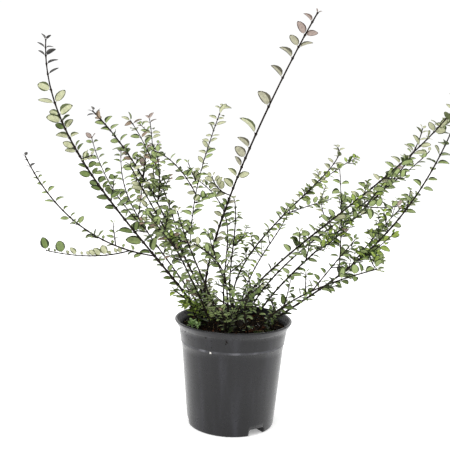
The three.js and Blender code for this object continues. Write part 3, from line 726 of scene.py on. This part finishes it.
box_low, box_high = (np.array(corner) / MM for corner in cad_box)
petioles = Pile()
piles = {tone: Pile() for tone in LEAF_TONES}
centres = {}
for leaf in leaves:
    root, along, size = leaf.root, leaf.along, leaf.size
    near, far = (root + along * size * share for share in LEAF_CORE)
    if not above_soil((near, far)) or wood_gap((near, far), leaf.owner) < LEAF_CLEAR:
        continue
    cell = tuple(np.floor(near / CELL).astype(int))
    if any(np.linalg.norm(c - near) < size * APART for c in centres.get(cell, ())):
        continue
    verts = leaf_verts(leaf)
    if (verts <= box_low).any() or (verts >= box_high).any():
        continue
    centres.setdefault(cell, []).append(near)
    leaf.height = (near[2] - SOIL_TOP) / (box_high[2] - SOIL_TOP)
    piles[tone_of(leaf)].add(verts, LEAF_FACES, LEAF_SLOTS)
    stalk = np.array([root - along * STALK_ENDS[0], verts[0] + along * STALK_ENDS[1]])
    tube(petioles, stalk, (size * STALK_FOOT[1] + STALK_FOOT[0], STALK_TIP), PETIOLE_SIDES)

# Stems: a ring every few millimetres, thicker at the leaf pairs
RING_STEPS = {"old": 3.2, "young": 4.5}
RELIEFS = {"old": 0.16, "young": 0.07}
KNOT_RINGS = (-1.6, 0, 1.6)
KNOT_REACH = 1.5
bark = {kind: Pile() for kind in RING_STEPS}
for number, entry in enumerate(stems):
    stem, kind = entry.stem, entry.bark
    count = max(3, int(stem.length / RING_STEPS[kind]))
    shares = np.unique(np.concatenate((
        np.linspace(0, 1, count + 1),
        [clamp(knot + away / stem.length) for knot, _ in entry.knots for away in KNOT_RINGS],
    )))
    points = [stem.at(s) for s in shares]
    radii = np.array([stem_radius(number, s) for s in shares])
    for knot, swell in entry.knots:
        away = (shares - knot) * stem.length
        radii *= 1 + swell * np.exp(-(away / KNOT_REACH) ** 2)
    tube(bark[kind], points, radii, entry.sides, RELIEFS[kind], number)


# Materials

def feed(node, **inputs):
    """Plain values or other nodes' outputs for a node's sockets, named with _ for a space."""
    for name, value in inputs.items():
        socket = node.inputs[name.replace("_", " ")]
        if isinstance(value, bpy.types.NodeSocket):
            node.id_data.links.new(value, socket)
        else:
            socket.default_value = value
    return node


def add_node(tree, kind, **inputs):
    return feed(tree.nodes.new("ShaderNode" + kind), **inputs)


def grain(tree, scale, detail=3, stretch=(1, 1, 1)):
    place = add_node(tree, "TexCoord").outputs["Object"]
    size = add_node(tree, "Mapping", Vector=place, Scale=stretch).outputs["Vector"]
    return add_node(tree, "TexNoise", Vector=size, Scale=scale, Detail=detail).outputs["Fac"]


def new_skin(name, base, roughness, specular, stops=(), blotches=(), relief=None, **inputs):
    """A Principled material. Its blotches and relief are noise of a scale and a detail; the
    relief has a strength and a depth too."""
    made = bpy.data.materials.new(name)
    made.use_nodes = True
    made.diffuse_color = colour(base)
    tree = made.node_tree
    shader = feed(tree.nodes["Principled BSDF"], Base_Color=colour(base), Roughness=roughness,
                  Specular_IOR_Level=specular, **inputs)
    if stops:
        ramp = add_node(tree, "ValToRGB", Fac=grain(tree, *blotches))
        elements = ramp.color_ramp.elements
        while len(elements) < len(stops):
            elements.new(0.5)
        for element, (place, code) in zip(elements, stops):
            element.position = place
            element.color = colour(code)
        feed(shader, Base_Color=ramp.outputs["Color"])
    if relief:
        scale, detail, strength, depth = relief
        bump = add_node(tree, "Bump", Height=grain(tree, scale, detail), Strength=strength,
                        Distance=depth)
        feed(shader, Normal=bump.outputs["Normal"])
    return made


def shade(code, factor):
    """The hex code made lighter or darker."""
    return "".join(f"{min(255, int(part * factor)):02x}" for part in bytes.fromhex(code))


def leaf_skin(name, code, roughness):
    stops = ((0.35, shade(code, 0.93)), (0.65, shade(code, 1.06)))
    return new_skin(name, code, roughness, 0.25, stops, (260, 2), (1400, 2, 0.25, 0.0002))


def bark_skin(name, stops, roughness, depth):
    return new_skin(name, stops[1][1], roughness, 0.12, stops, (420, 5), (900, 4, 0.5, depth))


def soil_skin(name, stops):
    return new_skin(name, stops[1][1], 0.95, 0.05, stops, (300, 8), (700, 6, 0.9, 0.0015))


def pot_skin():
    """Black plastic, streaked upright, with a gloss that varies."""
    stops = ((0.3, "07070a"), (0.52, "111115"), (0.75, "27272d"))
    made = new_skin("pot_plastic", "101013", 0.28, 0.38, stops, (60, 5, (1, 1, 0.1)),
                    (1100, 3, 0.1, 0.0003), Sheen_Weight=0.3, Sheen_Roughness=0.35)
    tree = made.node_tree
    gloss = add_node(tree, "MapRange", Value=grain(tree, 90, 4), To_Min=0.2, To_Max=0.36)
    feed(tree.nodes["Principled BSDF"], Roughness=gloss.outputs["Result"])
    return made


def painted_highlight_skin():
    """Plastic painted bright where an edge stands proud: a painted highlight for the light that edge
    catches.
    """
    stops = ((0.35, "2a2a2e"), (0.52, "3a3a3f"), (0.7, "5c5c61"))
    return new_skin("pot_edge_painted_highlight", "2c2c30", 0.4, 0.4, stops, (70, 4))


UNDER_MATT = 0.15  # how much rougher the under sides are
OLD_BARK = bark_skin(
    "cane_bark", ((0.3, "0e0b08"), (0.5, "1b1610"), (0.72, "342b20")), 0.75, 0.0006)
YOUNG_BARK = bark_skin(
    "shoot_bark", ((0.3, "0f0b09"), (0.5, "1b1511"), (0.75, "32281f")), 0.6, 0.0002)
STALK = leaf_skin("petiole", "3a3226", 0.6)
PEAT = soil_skin("peat", ((0.32, "070504"), (0.5, "15100c"), (0.7, "2b2018")))
CHIP = soil_skin("bark_chip", ((0.3, "2c1a11"), (0.5, "472b1c"), (0.7, "66422c")))
STRAW = soil_skin("straw", ((0.3, "5f5238"), (0.5, "7d6f4e"), (0.7, "9c8f6c")))
PERLITE = soil_skin("perlite", ((0.3, "c9c6bd"), (0.5, "dedbd3"), (0.7, "efede8")))
MOSS = leaf_skin("moss", "3f5220", 0.8)
SEEDLING = leaf_skin("seedling_leaf", "a6c484", 0.45)


# The larger pieces: leaves by tone, and old wood

def mass_nodes():
    names = [cane["name"] + "_leaves" for cane in CANES]
    names += [cane["fork"]["name"] + "_leaves" for cane in CANES if "fork" in cane]
    return names + [clump["name"] for clump in CLUMPS]


for tone, pile in piles.items():
    # painted shade: under sides, margins and tips get darker copies of each upper-side tone
    upper, under, margin, gloss = LEAF_TONES[tone]
    skins = (leaf_skin("leaf_" + tone, upper, gloss),
             leaf_skin("leaf_under_painted_shade_" + tone, under, gloss + UNDER_MATT),
             leaf_skin("leaf_margin_painted_shade_" + tone, margin, gloss))
    piece = pile.build("leaves_" + tone, skins)
    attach(piece, "root")
    if tone == "mid":
        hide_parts(*mass_nodes())

# The woody stool that the inner canes rise from: a knuckled mound
STOOL_PROFILE = ((0.0, STOOL_FLARE), (0.2, 14.6), (0.4, STOOL_RADIUS + 1.6), (0.7, STOOL_RADIUS),
                 (0.92, STOOL_RADIUS - 1.2), (1.0, STOOL_RADIUS - 4))
STOOL_RINGS, STOOL_SIDES = 14, 28
STOOL_SLIM, STOOL_SINK = 0.8, 1
STOOL_RELIEF, STOOL_KEY = 0.13, 77
shares = np.linspace(0, 1, STOOL_RINGS)
points = [(0, 0, SOIL_TOP - STOOL_SINK + STOOL_HEIGHT * s) for s in shares]
radii = np.interp(shares, *zip(*STOOL_PROFILE)) - STOOL_SLIM
tube(bark["old"], points, radii, STOOL_SIDES, STOOL_RELIEF, STOOL_KEY)
canes = bark["old"].build("canes", [OLD_BARK])
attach(canes, "root")
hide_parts("root_stool", *[cane["name"] + "_cane" for cane in CANES])


# The pot

LATHE_SIDES = 144
HIGHLIGHT_BAND = 0.9  # the height of the painted highlight line at the collar's foot
COLLAR_FILLET = 0.45
COLLAR_DRAFT = 1.2  # how far below the collar's top its slope ends
LIP_BEAD = 1.5
HOLE_SIDES = 24
HOLE_PLACE = 0.55  # how far in from the pot's edge, as a share of a notch's depth
HOLE_REACH = (ARCH_HEIGHT * 0.6, ARCH_HEIGHT + WALL * 3)


def lathe(name, profile, surfaces):
    """A closed body of revolution from [radius, height] pairs that start and end on the axis.
    A second surface, a painted highlight, goes on the foot of the collar."""
    verts, rings = [], []
    for r, z in profile:
        if r == 0:
            rings.append([len(verts)])
            verts.append((0, 0, z))
            continue
        rings.append(list(range(len(verts), len(verts) + LATHE_SIDES)))
        verts.extend((*polar(r, a), z) for a in angles_round(LATHE_SIDES))
    pile, highlighted = Pile(), len(surfaces) > 1
    for (_, z), low, high in zip(profile, rings, rings[1:]):
        faces = bands([low, high])
        # painted highlight: the band at the collar's foot takes the bright second surface
        slot = 1 if highlighted and COLLAR_Z - 0.05 < z < COLLAR_Z + HIGHLIGHT_BAND else 0
        pile.faces.extend(faces)
        pile.slots.extend([slot] * len(faces))
    pile.verts.append(verts)
    return pile.build(name, surfaces)


def fillet(r, z, radius, start, end, count=5):
    """Points round a corner, angles in degrees from +X towards +Z."""
    return [(r + dr, z + dz)
            for dr, dz in (polar(radius, radians(a)) for a in np.linspace(start, end, count))]


def prism(name, rings, bearing):
    """A closed cutter between two like rings of corners, turned to its bearing."""
    count = len(rings[0])
    low, high = range(count), range(count, 2 * count)
    faces = [tuple(reversed(low)), tuple(high)] + bands([low, high])
    pile = Pile()
    pile.add(rings[0] + rings[1], faces)
    cutter = pile.build(name, [], False)
    cutter.data.transform(Matrix.Rotation(radians(bearing), 4, "Z"))
    return cutter


def arch_cutter(bearing, grow):
    """A round-shouldered channel in the pot's foot."""
    half, top = ARCH_WIDTH / 2 + grow, ARCH_HEIGHT + grow
    side, shoulder = half - ARCH_CORNER, top - ARCH_CORNER
    outline = [(-half, -3), (half, -3)]
    outline += fillet(side, shoulder, ARCH_CORNER, 0, 90, 7)
    outline += fillet(-side, shoulder, ARCH_CORNER, 90, 180, 7)
    reach = (BASE_RADIUS - ARCH_DEPTH - grow, BASE_RADIUS + ARCH_HEIGHT)
    return prism(f"cutter_{bearing}_{grow}", [[(r, y, z) for y, z in outline] for r in reach], bearing)


def hole_cutter(bearing):
    reach = BASE_RADIUS - ARCH_DEPTH * HOLE_PLACE
    ring = [polar(DRAIN_RADIUS, a) for a in angles_round(HOLE_SIDES)]
    return prism(f"hole_{bearing}", [[(reach + x, y, z) for x, y in ring] for z in HOLE_REACH], bearing)


def cut(body, cutters):
    """body less the cutters, with the result kept as its mesh."""
    for cutter in cutters:
        step = body.modifiers.new("cut", "BOOLEAN")
        step.object = cutter
        step.operation = "DIFFERENCE"
        step.solver = "EXACT"
    graph = bpy.context.evaluated_depsgraph_get()
    made = bpy.data.meshes.new_from_object(body.evaluated_get(graph))
    body.modifiers.clear()
    body.data = made
    for cutter in cutters:
        bpy.data.objects.remove(cutter)


def wall_radius(z):
    return mix(BASE_RADIUS, COLLAR_FOOT - COLLAR_STEP, z / COLLAR_Z)


outside = [(0, 0), (BASE_RADIUS - BASE_CHAMFER, 0)]
outside += fillet(BASE_RADIUS - BASE_CHAMFER, BASE_CHAMFER, BASE_CHAMFER, -80, 0)
outside += [(wall_radius(z), z) for z in np.linspace(6, COLLAR_Z - 0.4, 12)]
outside += fillet(COLLAR_FOOT - COLLAR_FILLET, COLLAR_Z + COLLAR_FILLET, COLLAR_FILLET, -90, 0, 4)
outside += [(mix(COLLAR_FOOT, COLLAR_TOP, s),
             mix(COLLAR_Z + 1, COLLAR_TOP_Z - COLLAR_DRAFT, s)) for s in np.linspace(0.1, 1, 5)]
outside += [(LIP_FOOT_RADIUS - 0.5, COLLAR_TOP_Z - 0.3), (LIP_FOOT_RADIUS + 0.5, COLLAR_TOP_Z + 0.9),
            (mix(LIP_FOOT_RADIUS, RIM_RADIUS, 0.6), POT_HEIGHT - 4.6)]
outside += fillet(RIM_RADIUS - LIP_BEAD, POT_HEIGHT - LIP_BEAD, LIP_BEAD, -40, 140, 8)
inside = [(0, WALL)] + [(wall_radius(z) - WALL, z) for z in (WALL, 60, COLLAR_Z)]
inside += [(COLLAR_TOP - WALL, COLLAR_TOP_Z - 1),
           (COLLAR_TOP - WALL + 0.8, COLLAR_TOP_Z + 1.5),
           (RIM_RADIUS - WALL - 1.2, POT_HEIGHT - 1.2),
           (RIM_RADIUS - WALL - 0.6, POT_HEIGHT + 2), (0, POT_HEIGHT + 2)]
POT_SKIN = pot_skin()
pot = lathe("nursery_pot", outside + [(0, POT_HEIGHT)], [POT_SKIN, painted_highlight_skin()])
room = lathe("pot_room", inside, [POT_SKIN])
cut(room, [arch_cutter(bearing, WALL) for bearing in ARCH_BEARINGS])
cut(pot, [room])
cut(pot, [arch_cutter(bearing, 0) for bearing in ARCH_BEARINGS])
cut(pot, [hole_cutter(bearing) for bearing in ARCH_BEARINGS])
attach(pot, "root")
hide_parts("pot")


# The soil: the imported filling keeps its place, with a crumbly crust over it

SOIL_EDGE = COLLAR_TOP - WALL - 0.6
SHOULDER = COLLAR_TOP - 14  # where the soil starts to fall to its edge,
SHOULDER_WIDTH = 11  # and how far that goes on
CRUST_LIFT = 1.6
CRUST_LUMPS = ((1.3, 0.06), (0.9, 0.21), (0.6, 0.6))  # height, and how closely they stand
CRUST_RINGS, CRUST_SPOKES = 44, 150
CRUST_DEPTH = 3


def soil_height(x, y):
    """The crust's height over the filling's own slope."""
    slope = SOIL_SLOPE * clamp((hypot(x, y) - SHOULDER) / SHOULDER_WIDTH)
    lumps = sum(high * noise.noise(Vector((x, y, 0)) * close) for high, close in CRUST_LUMPS)
    return SOIL_TOP - slope + CRUST_LIFT + lumps


crust = Pile()
verts = [(0, 0, soil_height(0, 0))]
for i in range(1, CRUST_RINGS + 1):
    for a in angles_round(CRUST_SPOKES):
        x, y = polar(SOIL_EDGE * i / CRUST_RINGS, a)
        verts.append((x, y, soil_height(x, y)))
verts.extend((*polar(SOIL_EDGE, a), SOIL_TOP - SOIL_SLOPE - CRUST_DEPTH)
             for a in angles_round(CRUST_SPOKES))
faces = [(0, 1 + j, 1 + (j + 1) % CRUST_SPOKES) for j in range(CRUST_SPOKES)]
for low in range(1, 1 + CRUST_RINGS * CRUST_SPOKES, CRUST_SPOKES):
    high = low + CRUST_SPOKES
    for j in range(CRUST_SPOKES):
        k = (j + 1) % CRUST_SPOKES
        faces.append((low + j, high + j, high + k, low + k))
crust.add(verts, faces)
soil = crust.build("soil_crust", [PEAT])
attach(soil, "root")
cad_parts["soil"].data.materials.clear()
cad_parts["soil"].data.materials.append(PEAT)

OCTA = np.array(((1, 0, 0), (-1, 0, 0), (0, 1, 0), (0, -1, 0), (0, 0, 1), (0, 0, -1)), float)
OCTA_FACES = ((0, 2, 4), (2, 1, 4), (1, 3, 4), (3, 0, 4), (2, 0, 5), (1, 2, 5), (3, 1, 5), (0, 3, 5))
CRUMB_SINK = 0.25  # how high a lump's middle lies, as a share of its size


def crumb(pile, x, y, size, key, flat=0.6, z=None):
    """An uneven eight-faced lump, on the soil where no height is given."""
    axes = [unit(np.array([spread(-1, 1, key, n, m) for m in range(3)]) + 0.01) for n in (1, 2)]
    third = unit(np.cross(*axes))
    second = np.cross(third, axes[0])
    shape = OCTA * [size * spread(0.6, 1.5, key, 5), size * spread(0.5, 1.0, key, 6), size * flat]
    turned = shape[:, :1] * axes[0] + shape[:, 1:2] * second + shape[:, 2:3] * third
    ground = soil_height(x, y) if z is None else z
    pile.add(turned + [x, y, ground + size * CRUMB_SINK], OCTA_FACES)


def on_soil(key):
    edge = SOIL_EDGE - 2.5
    return polar(sqrt(spread(0, edge * edge, key, 30)), spread(0, TURN, key, 31))


crumbs, chips, grits, straws, moss, seedling, specks, fleck = (Pile() for _ in range(8))
for pile, count, places, sizes, draw, keys, flat in (
        (crumbs, 1500, 900, (0.5, 1.9), 32, 0, 0.6), (chips, 150, 4000, (0.8, 2.6), 33, 5000, 0.35),
        (grits, 26, 7000, (0.6, 1.4), 37, 8000, 0.8)):
    for i in range(count):
        crumb(pile, *on_soil(places + i), spread(*sizes, i, draw), keys + i, flat)

# A drift of bark chips in front of the canes
for i in range(60):
    a, r = spread(-2.3, -0.5, i, 35), spread(55, 72, i, 36)
    x, y = 40 + r * 0.3 * cos(a * 7), -28 + 22 * sin(a * 5)
    crumb(chips, x, y, spread(1.0, 2.8, i, 34), 6000 + i, 0.35)

# Fibres and straws lying about
for i in range(60):
    x, y = on_soil(9000 + i)
    a, reach = spread(0, pi, i, 50), spread(4, 15, i, 51)
    path = []
    for s in np.linspace(-0.5, 0.5, 6):
        px = x + cos(a) * reach * s
        py = y + sin(a) * reach * s + spread(-1.5, 1.5, i, 52) * s * s * 4
        if hypot(px, py) > SOIL_EDGE - 1.5:
            break
        path.append((px, py, soil_height(px, py) + 0.5 + 1.2 * (0.25 - s * s)))
    if len(path) > 3:
        tube(straws, path, np.full(len(path), spread(0.2, 0.5, i, 53)), 5, 0.1, i)

# Moss tufts: place, reach, number of stalks
TUFTS = ((38, -44, 9, 90), (52, -28, 6, 60), (-8, -60, 7, 60), (-20, 44, 10, 80), (10, 60, 8, 70),
         (-62, 6, 6, 50))
for key, (x, y, reach, count) in enumerate(TUFTS, 1):
    for i in range(count):
        dx, dy = polar(reach * sqrt(chance(key, i, 61)), spread(0, TURN, key, i, 60))
        px, py = x + dx, y + dy
        if hypot(px, py) > SOIL_EDGE - 2:
            continue
        foot = np.array((px, py, soil_height(px, py) - 0.2))
        lean = np.array((spread(-0.8, 0.8, key, i, 62), spread(-0.8, 0.8, key, i, 63), 1.0))
        tip = foot + unit(lean) * spread(1.2, 2.8, key, i, 64)
        tube(moss, (foot, mix(foot, tip, 0.5), tip), (0.35, 0.42, 0.12), 3)

# A seedling of two rosettes near the left edge: place, number and size of leaves, key
SPIRAL = 2.4  # radians from one leaf to the next
for x, y, count, size, key in ((-58, -26, 14, 8, 11), (-50, -34, 8, 6, 12)):
    foot = np.array((x, y, soil_height(x, y)))
    for i in range(count):
        a = i * SPIRAL + spread(-0.2, 0.2, key, i, 70)
        out = unit(np.array((*polar(1, a), mix(1.6, 0.5, i / count))))
        root = foot + UP * mix(6, 1.5, i / count) + out * size * 0.25
        tube(seedling, (foot, mix(foot, root, 0.6), root), (0.35, 0.3, 0.3), 4)
        leaf = Record(root=root, along=out, face=unit(UP - out * out[2]), key=(key, i, 71),
                      size=size * spread(0.7, 1.1, key, i, 72))
        seedling.add(leaf_verts(leaf), LEAF_FACES)

# Peat on the collar and the lip: bearing, height, size; one white grain with its radius too
SMEARS = ((-96.0, 141.2, 2.0), (-96.6, 138.4, 1.5), (-149, 143, 1.6), (-118, 144, 1.1))
GRAIN = (-113, 75.9, COLLAR_Z + 0.3, 2.1)
SPECK_HEIGHTS = (COLLAR_Z, COLLAR_TOP_Z, POT_HEIGHT - 4, POT_HEIGHT - 1)
SPECK_RADII = (75.8, 79.2, 83.6, 84.6)
for i in range(34):
    a = radians(spread(-160, -20, i, 80)) if i < 22 else spread(0, TURN, i, 81)
    z = spread(COLLAR_Z + 6, POT_HEIGHT - 2, i, 82)
    r = np.interp(z, SPECK_HEIGHTS, SPECK_RADII)
    crumb(specks, *polar(r, a), spread(0.35, 0.95, i, 83), 8200 + i, z=z)
for i in range(40):
    a, r = spread(0, TURN, i, 84), RIM_RADIUS - spread(1.2, 2.6, i, 85)
    crumb(specks, *polar(r, a), spread(0.3, 0.8, i, 86), 8300 + i, 0.5, POT_HEIGHT - 0.2)
for i, (bearing, z, size) in enumerate(SMEARS):
    r = mix(COLLAR_FOOT, COLLAR_TOP, (z - COLLAR_Z) / (COLLAR_TOP_Z - COLLAR_Z)) + 0.1
    crumb(specks, *polar(r, radians(bearing)), size, 8500 + i, 0.5, z)
bearing, r, z, size = GRAIN
crumb(fleck, *polar(r, radians(bearing)), size, 8400, 0.8, z)

# The smaller pieces
for name, pile, skin, slot, smooth in (
        ("petioles", petioles, STALK, "foliage", True),
        ("shoots_and_twigs", bark["young"], YOUNG_BARK, "bark", True),
        ("soil_crumbs", crumbs, PEAT, "soil", False), ("bark_chips", chips, CHIP, "soil", False),
        ("perlite", grits, PERLITE, "soil", False), ("straws", straws, STRAW, "soil", True),
        ("moss", moss, MOSS, "foliage", True), ("seedling", seedling, SEEDLING, "foliage", True),
        ("peat_specks", specks, PEAT, "soil", False), ("white_fleck", fleck, PERLITE, "soil", False)):
    piece = pile.build(name, [skin], smooth)
    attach(piece, "root")


# Stage: a plain pale floor, soft light from all round and a gentle key from above

FLOOR_HALF = 9  # metres, as all of the stage
FLOOR_GLOW = 0.28
SKY_STRENGTH = 1.04
LAMPS = (("key", (-1.1, -1.5, 2.3), 1.8, 28), ("rim", (1.6, 1.0, 2.0), 1.2, 10))
LAMP_AIM = (0, 0, 0.3)
WHITE = (1, 1, 1, 1)

floor_mesh = bpy.data.meshes.new("floor")
corners = [(x * FLOOR_HALF, y * FLOOR_HALF, 0) for x, y in ((-1, -1), (1, -1), (1, 1), (-1, 1))]
floor_mesh.from_pydata(corners, [], [(0, 1, 2, 3)])
floor = add_object("floor", floor_mesh)
floor_mesh.materials.append(new_skin("floor_paper", "ffffff", 0.9, 0, Emission_Color=WHITE,
                                     Emission_Strength=FLOOR_GLOW))
floor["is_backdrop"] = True

world = bpy.data.worlds.new("studio")
bpy.context.scene.world = world
world.use_nodes = True
feed(world.node_tree.nodes["Background"], Color=WHITE, Strength=SKY_STRENGTH)
for name, place, size, watts in LAMPS:
    light = bpy.data.lights.new(name, "AREA")
    light.shape = "DISK"
    light.size = size
    light.energy = watts
    lamp = add_object(name, light)
    lamp.location = place
    lamp.rotation_euler = (Vector(LAMP_AIM) - Vector(place)).to_track_quat("-Z", "Y").to_euler()
bpy.context.scene.view_settings.view_transform = "Standard"
bpy.context.scene.view_settings.look = "None"

# The photograph's viewpoint
CAMERA_PLACE = (0.0, -1.05, 0.427)
CAMERA_PITCH = 0.1282
CAMERA_YAW = -0.0156
CAMERA_ROLL = 0.0307
FOCAL_SHARE = 738.2 / 450
SENSOR = 36

lens = bpy.data.cameras.new("camera")
lens.sensor_width = SENSOR
lens.lens = FOCAL_SHARE * SENSOR
lens.clip_start = 0.05
camera = add_object("camera", lens)
camera.matrix_world = (
    Matrix.Translation(CAMERA_PLACE) @ Matrix.Rotation(-CAMERA_YAW, 4, "Z")
    @ Matrix.Rotation(pi / 2 - CAMERA_PITCH, 4, "X") @ Matrix.Rotation(CAMERA_ROLL, 4, "Z"))
bpy.context.scene.camera = camera

bpy.context.view_layer.update()
sizes = {"cad": [list(corner) for corner in cad_box], "visual": [list(corner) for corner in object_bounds()]}
